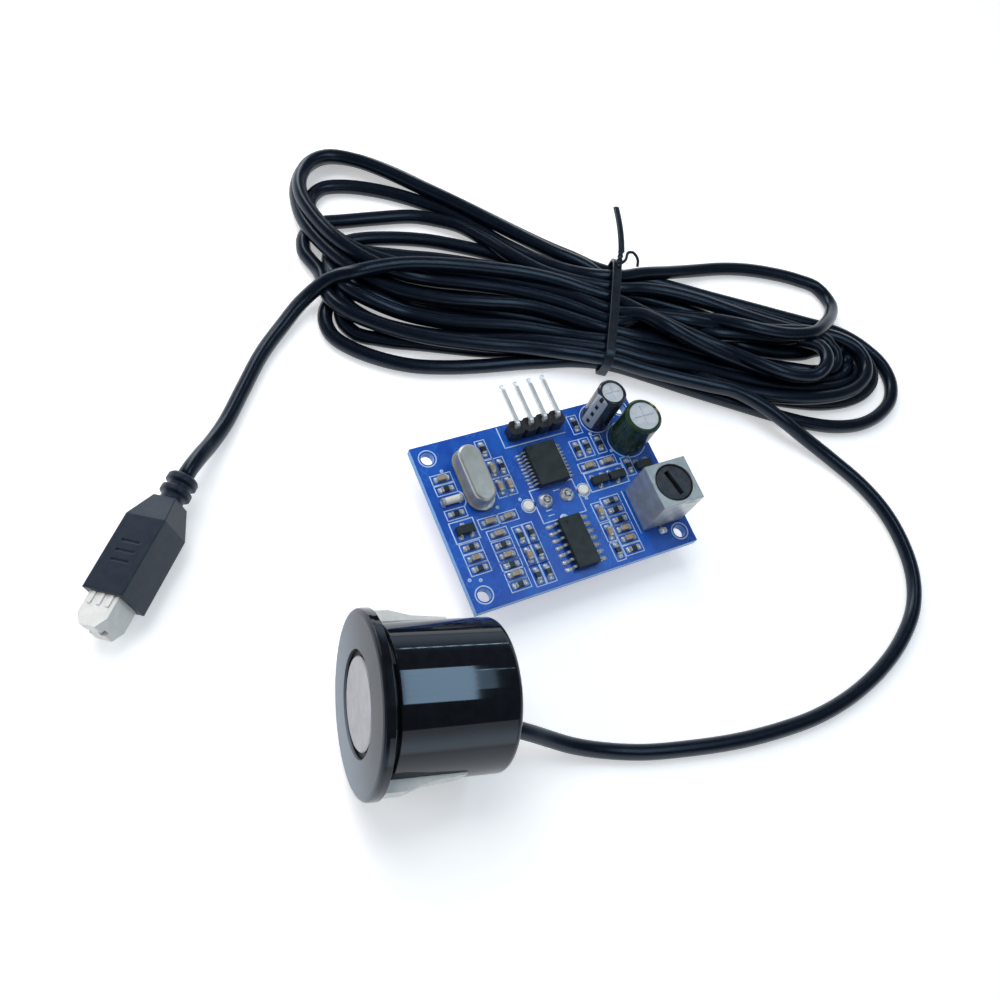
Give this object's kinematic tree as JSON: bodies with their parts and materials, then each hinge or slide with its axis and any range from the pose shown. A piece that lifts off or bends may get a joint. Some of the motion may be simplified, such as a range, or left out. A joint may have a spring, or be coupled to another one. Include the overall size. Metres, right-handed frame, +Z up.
{
  "type": "ultrasonic distance sensor module",
  "caption": "Small driver board and a waterproof ultrasonic probe on a long tied cable that ends in a two-way plug.",
  "frame": {"origin": "centre of the board's four mounting holes, on the board's underside", "axes": "+X along the board's long edge, +Y towards the pin header, +Z up out of the component side"},
  "size_m": [0.1569, 0.1292, 0.0259],
  "materials": {
    "solder_mask": "satin",
    "black_moulding": "matte",
    "pin_metal": "bright",
    "crystal_metal": "satin",
    "quartz": "clear",
    "can_aluminium": "satin",
    "black_sleeve": "gloss",
    "green_sleeve": "gloss",
    "rubber": "matte",
    "wound_foil": "matte",
    "tinned_metal": "satin",
    "coil_plastic": "matte",
    "ferrite": "matte",
    "copper_wire": "gloss",
    "chip_moulding": "matte",
    "chip_ceramic": "matte",
    "resistor_coat": "satin",
    "diode_glass": "gloss",
    "solder": "bright",
    "white_nylon": "satin",
    "probe_black": "gloss",
    "face_metal": "satin",
    "piezo_ceramic": "satin",
    "foam": "matte",
    "potting": "satin",
    "wire_cover": "satin",
    "cable_cover": "satin",
    "tie_cover": "gloss",
    "plug_moulding": "satin",
    "contact_metal": "satin"
  },
  "bodies": {
    "module": {"circuit_board": "solder_mask", "header_strip": "black_moulding", "header_pin_1": "pin_metal", "header_pin_2": "pin_metal", "header_pin_3": "pin_metal", "header_pin_4": "pin_metal", "crystal_base": "crystal_metal", "crystal_can": "crystal_metal", "crystal_blank": "quartz", "crystal_leads": "tinned_metal", "small_capacitor_can": "can_aluminium", "small_capacitor_sleeve": "black_sleeve", "small_capacitor_bung": "rubber", "small_capacitor_roll": "wound_foil", "small_capacitor_leads": "tinned_metal", "large_capacitor_can": "can_aluminium", "large_capacitor_sleeve": "green_sleeve", "large_capacitor_bung": "rubber", "large_capacitor_roll": "wound_foil", "large_capacitor_leads": "tinned_metal", "coil_can": "tinned_metal", "coil_base": "black_moulding", "coil_pins": "tinned_metal", "coil_sleeve": "coil_plastic", "coil_drum": "ferrite", "coil_winding": "copper_wire", "controller_chip": "chip_moulding", "controller_leads": "tinned_metal", "amplifier_chip": "chip_moulding", "amplifier_leads": "tinned_metal", "transistor_bodies": "chip_moulding", "transistor_leads": "tinned_metal", "chip_resistors": "resistor_coat", "chip_capacitors": "chip_ceramic", "chip_end_caps": "tinned_metal", "diode_body": "diode_glass", "diode_end_caps": "tinned_metal", "probe_socket": "white_nylon", "socket_contacts": "tinned_metal", "solder_joints": "solder", "probe_housing": "probe_black", "barrel_clip_left": "white_nylon", "barrel_clip_right": "white_nylon", "isolation_ring": "rubber", "transducer_cup": "face_metal", "piezo_disc": "piezo_ceramic", "damping_pad": "foam", "probe_potting": "potting", "probe_wires": "wire_cover", "cable_bush": "rubber", "cable_from_probe": "cable_cover", "cable_hank": "cable_cover", "cable_to_plug": "cable_cover", "twist_tie": "tie_cover", "plug_shell": "plug_moulding", "plug_insert": "white_nylon", "plug_contacts": "contact_metal"},
    "core": {"coil_core": "ferrite"}
  },
  "joints": [
    {"name": "core_turn", "type": "hinge", "parent": "module", "child": "core", "pos_m": [0.0157, -0.00645, 0.0076], "axis": [0, 0, 1], "range_deg": [-180, 180]}
  ]
}
